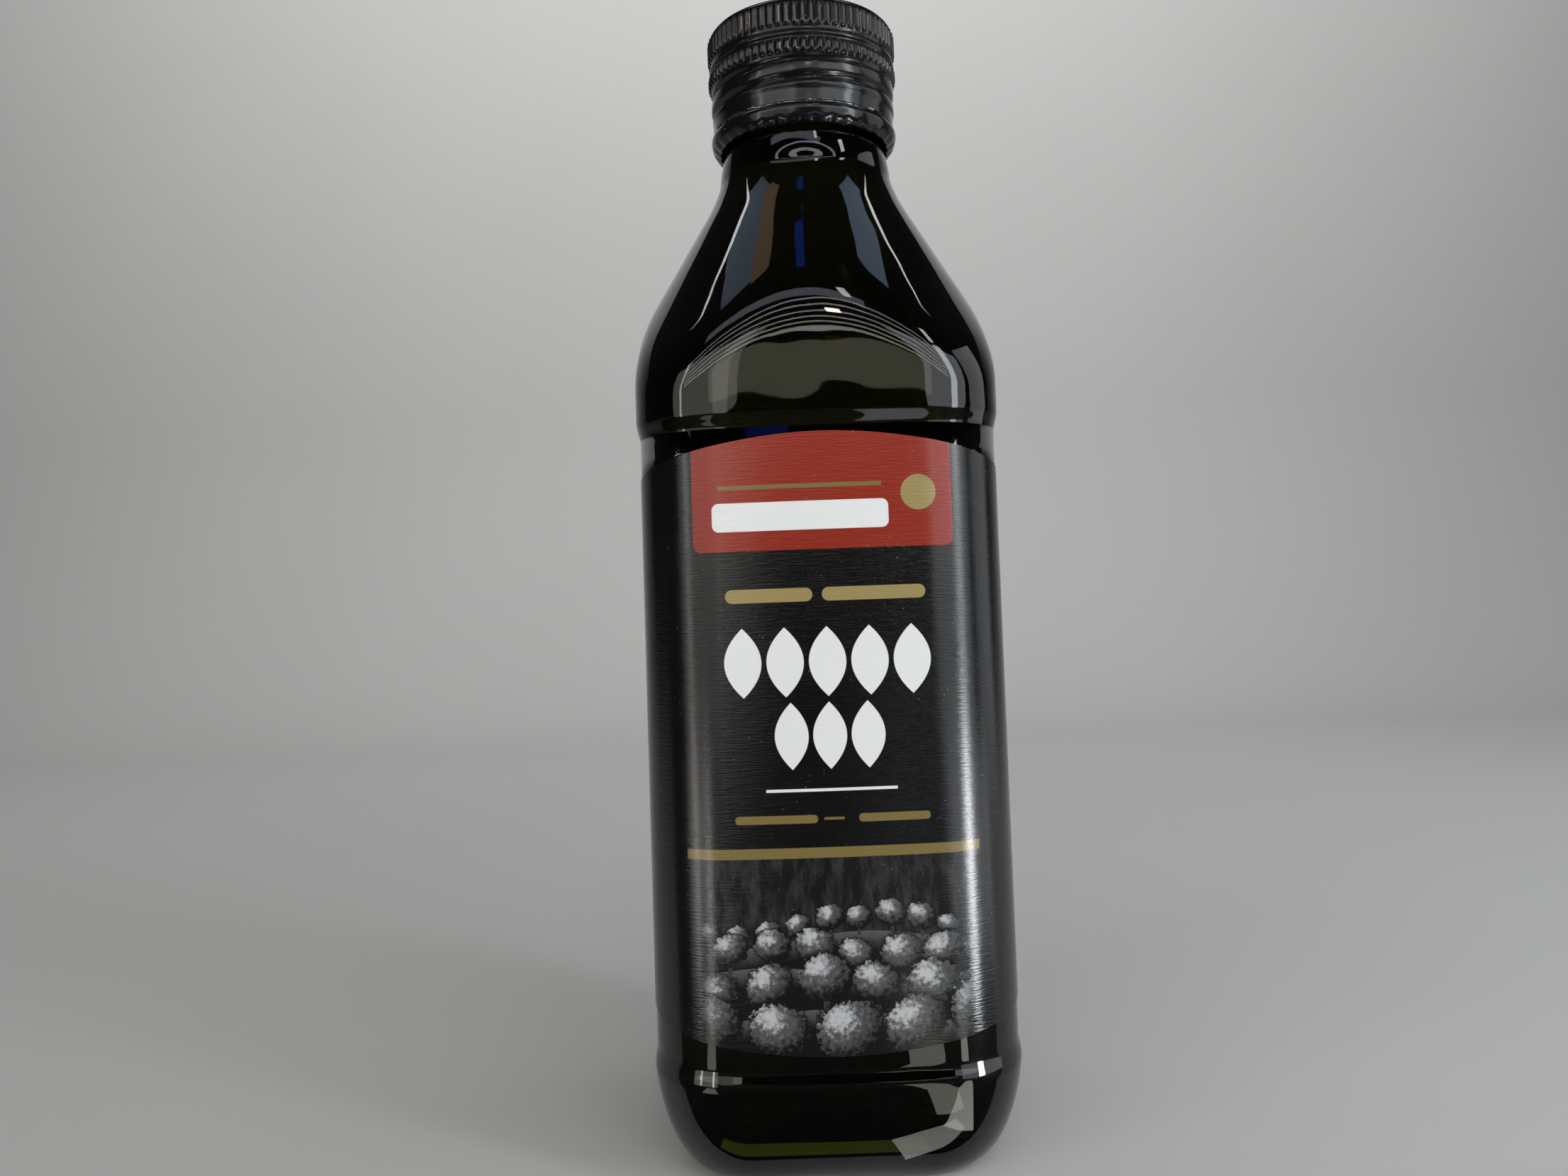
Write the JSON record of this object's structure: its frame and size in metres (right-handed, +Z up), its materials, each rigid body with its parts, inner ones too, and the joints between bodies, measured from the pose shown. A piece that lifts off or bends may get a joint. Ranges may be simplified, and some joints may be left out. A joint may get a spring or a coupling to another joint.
{
  "type": "olive oil bottle",
  "caption": "Square dark green glass bottle with round corners, conical shoulder, black roll-on cap and wrap-round label, full of oil.",
  "frame": {"origin": "centre of the base, on the surface that the bottle stands on", "axes": "+Z up along the bottle's axis to the cap, -Y out of the label's front"},
  "size_m": [0.0584, 0.0584, 0.1832],
  "materials": {
    "glass": "gloss",
    "oil": "gloss",
    "cap": "satin",
    "label": "satin"
  },
  "bodies": {
    "root": {"bottle": "glass", "oil": "oil", "cap": "cap", "label": "label"}
  },
  "joints": []
}
